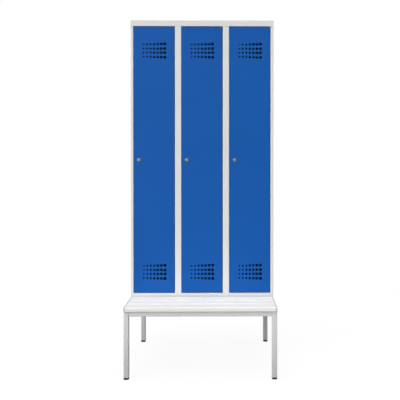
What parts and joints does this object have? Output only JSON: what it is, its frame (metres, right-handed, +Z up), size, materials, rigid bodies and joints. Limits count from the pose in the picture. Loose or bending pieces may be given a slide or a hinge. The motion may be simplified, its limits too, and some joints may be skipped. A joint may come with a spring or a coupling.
{
  "type": "locker with bench",
  "caption": "Tall steel clothes locker with perforated hinged doors, cam locks, hat shelves and coat rails, standing on a square-tube bench frame with a slatted seat.",
  "frame": {"origin": "on the floor, in the middle of the overall width and depth", "axes": "+Z up, +X to the right of a person who faces the doors, +Y from the bench towards the back of the cabinet"},
  "size_m": [0.9, 0.81, 2.1653],
  "materials": {
    "light_grey_paint": "fine-textured powder coat, semi-matt",
    "blue_paint": "fine-textured powder coat, semi-matt",
    "seat_pvc": "smooth satin",
    "black_plastic": "moulded matt",
    "zinc_steel": "bright zinc",
    "chrome": "polished",
    "brass": "worn satin"
  },
  "bodies": {
    "cabinet": {"leg_front_left": "light_grey_paint", "leg_front_right": "light_grey_paint", "leg_rear_left": "light_grey_paint", "leg_rear_right": "light_grey_paint", "foot_plug_front_left": "black_plastic", "foot_plug_front_right": "black_plastic", "foot_plug_rear_left": "black_plastic", "foot_plug_rear_right": "black_plastic", "base_rail_front": "light_grey_paint", "base_rail_middle": "light_grey_paint", "base_rail_rear": "light_grey_paint", "base_rail_left": "light_grey_paint", "base_rail_right": "light_grey_paint", "seat_strut": "light_grey_paint", "seat_slat_front": "seat_pvc", "seat_slat_middle": "seat_pvc", "seat_slat_rear": "seat_pvc", "side_panel_left": "light_grey_paint", "side_panel_right": "light_grey_paint", "mullion_left": "light_grey_paint", "mullion_right": "light_grey_paint", "partition_left": "light_grey_paint", "partition_right": "light_grey_paint", "back_panel": "light_grey_paint", "roof_panel": "light_grey_paint", "floor_pan": "light_grey_paint", "pivot_pin_upper_left": "zinc_steel", "pivot_pin_lower_left": "zinc_steel", "hat_shelf_left": "light_grey_paint", "coat_rail_left": "zinc_steel", "pivot_pin_upper_middle": "zinc_steel", "pivot_pin_lower_middle": "zinc_steel", "hat_shelf_middle": "light_grey_paint", "coat_rail_middle": "zinc_steel", "pivot_pin_upper_right": "zinc_steel", "pivot_pin_lower_right": "zinc_steel", "hat_shelf_right": "light_grey_paint", "coat_rail_right": "zinc_steel"},
    "door_left": {"door_left": "blue_paint", "door_stiffener_left": "blue_paint", "lock_barrel_left": "chrome"},
    "lock_left": {"lock_plug_left": "brass", "lock_cam_left": "zinc_steel"},
    "hook_left_1": {"hook_left_1": "black_plastic"},
    "hook_left_2": {"hook_left_2": "black_plastic"},
    "door_middle": {"door_middle": "blue_paint", "door_stiffener_middle": "blue_paint", "lock_barrel_middle": "chrome"},
    "lock_middle": {"lock_plug_middle": "brass", "lock_cam_middle": "zinc_steel"},
    "hook_middle_1": {"hook_middle_1": "black_plastic"},
    "hook_middle_2": {"hook_middle_2": "black_plastic"},
    "door_right": {"door_right": "blue_paint", "door_stiffener_right": "blue_paint", "lock_barrel_right": "chrome"},
    "lock_right": {"lock_plug_right": "brass", "lock_cam_right": "zinc_steel"},
    "hook_right_1": {"hook_right_1": "black_plastic"},
    "hook_right_2": {"hook_right_2": "black_plastic"}
  },
  "joints": [
    {"name": "door_left_hinge", "type": "hinge", "parent": "cabinet", "child": "door_left", "pos_m": [-0.18317, -0.087, 1.2863], "axis": [0, 0, 1], "range_deg": [0, 110]},
    {"name": "lock_left_turn", "type": "hinge", "parent": "door_left", "child": "lock_left", "pos_m": [-0.3965, -0.095, 1.2863], "axis": [0, 1, 0], "range_deg": [0, 90]},
    {"name": "hook_left_1_slide", "type": "slide", "parent": "cabinet", "child": "hook_left_1", "axis": [1, 0, 0], "range_m": [-0.0805, 0.0525]},
    {"name": "hook_left_2_slide", "type": "slide", "parent": "cabinet", "child": "hook_left_2", "axis": [1, 0, 0], "range_m": [-0.0525, 0.0805]},
    {"name": "door_middle_hinge", "type": "hinge", "parent": "cabinet", "child": "door_middle", "pos_m": [0.11817, -0.087, 1.2863], "axis": [0, 0, 1], "range_deg": [0, 110]},
    {"name": "lock_middle_turn", "type": "hinge", "parent": "door_middle", "child": "lock_middle", "pos_m": [-0.09517, -0.095, 1.2863], "axis": [0, 1, 0], "range_deg": [0, 90]},
    {"name": "hook_middle_1_slide", "type": "slide", "parent": "cabinet", "child": "hook_middle_1", "axis": [1, 0, 0], "range_m": [-0.0817, 0.0525]},
    {"name": "hook_middle_2_slide", "type": "slide", "parent": "cabinet", "child": "hook_middle_2", "axis": [1, 0, 0], "range_m": [-0.0525, 0.0817]},
    {"name": "door_right_hinge", "type": "hinge", "parent": "cabinet", "child": "door_right", "pos_m": [0.4195, -0.087, 1.2863], "axis": [0, 0, 1], "range_deg": [0, 110]},
    {"name": "lock_right_turn", "type": "hinge", "parent": "door_right", "child": "lock_right", "pos_m": [0.20617, -0.095, 1.2863], "axis": [0, 1, 0], "range_deg": [0, 90]},
    {"name": "hook_right_1_slide", "type": "slide", "parent": "cabinet", "child": "hook_right_1", "axis": [1, 0, 0], "range_m": [-0.0805, 0.0525]},
    {"name": "hook_right_2_slide", "type": "slide", "parent": "cabinet", "child": "hook_right_2", "axis": [1, 0, 0], "range_m": [-0.0525, 0.0805]}
  ]
}
